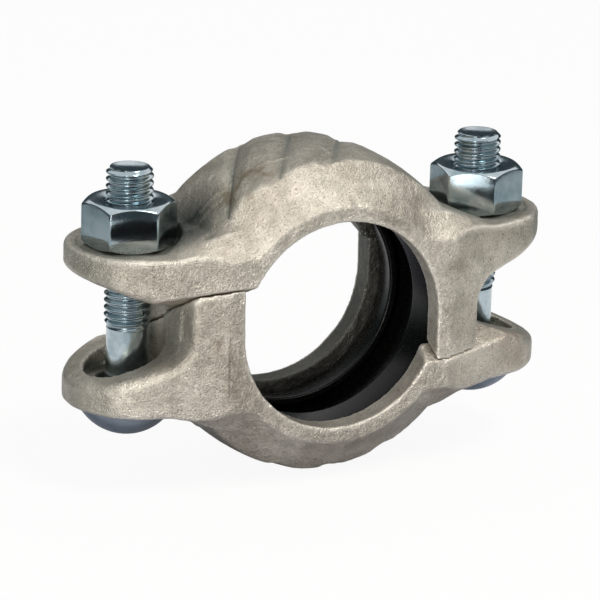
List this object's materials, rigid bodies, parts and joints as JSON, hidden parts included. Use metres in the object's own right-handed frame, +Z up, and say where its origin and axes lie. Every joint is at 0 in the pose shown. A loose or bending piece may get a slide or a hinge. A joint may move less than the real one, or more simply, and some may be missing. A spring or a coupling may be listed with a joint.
{
  "type": "rigid grooved pipe coupling",
  "caption": "Rigid grooved pipe coupling: cast halves with slanted pads clamp two grooved pipe ends over a rubber seal, drawn up by track bolts and nuts.",
  "frame": {"origin": "Middle of the bore, halfway between the two end faces, which is also the centre of the overall box.", "axes": "+X runs from the left bolt to the right bolt, +Y along the pipe away from the front end face, +Z up along the bolts to the nuts."},
  "size_m": [0.1368, 0.0494, 0.0884],
  "materials": {
    "housing": "galvanised casting, grainy and dull",
    "seal": "semi-gloss moulded rubber",
    "fastener": "bright zinc plate with a bluish tint"
  },
  "bodies": {
    "lower_half": {"lower_housing": "housing", "gasket": "seal", "left_bolt": "fastener", "right_bolt": "fastener"},
    "upper_half": {"upper_housing": "housing"},
    "left_nut": {"left_nut": "fastener"},
    "right_nut": {"right_nut": "fastener"}
  },
  "joints": [
    {"name": "housing_lift", "type": "slide", "parent": "lower_half", "child": "upper_half", "axis": [0, 0, 1], "range_m": [0, 0.0159]},
    {"name": "left_nut_turn", "type": "hinge", "parent": "upper_half", "child": "left_nut", "pos_m": [-0.0515, 0, 0.0212], "axis": [0, 0, 1], "range_deg": [0, 2940]},
    {"name": "right_nut_turn", "type": "hinge", "parent": "upper_half", "child": "right_nut", "pos_m": [0.0515, 0, 0.0212], "axis": [0, 0, 1], "range_deg": [0, 2940]}
  ],
  "couplings": [
    {"joint": "left_nut_turn", "follows": "housing_lift", "rad_per_m": 3215.8},
    {"joint": "right_nut_turn", "follows": "housing_lift", "rad_per_m": 3215.8}
  ]
}
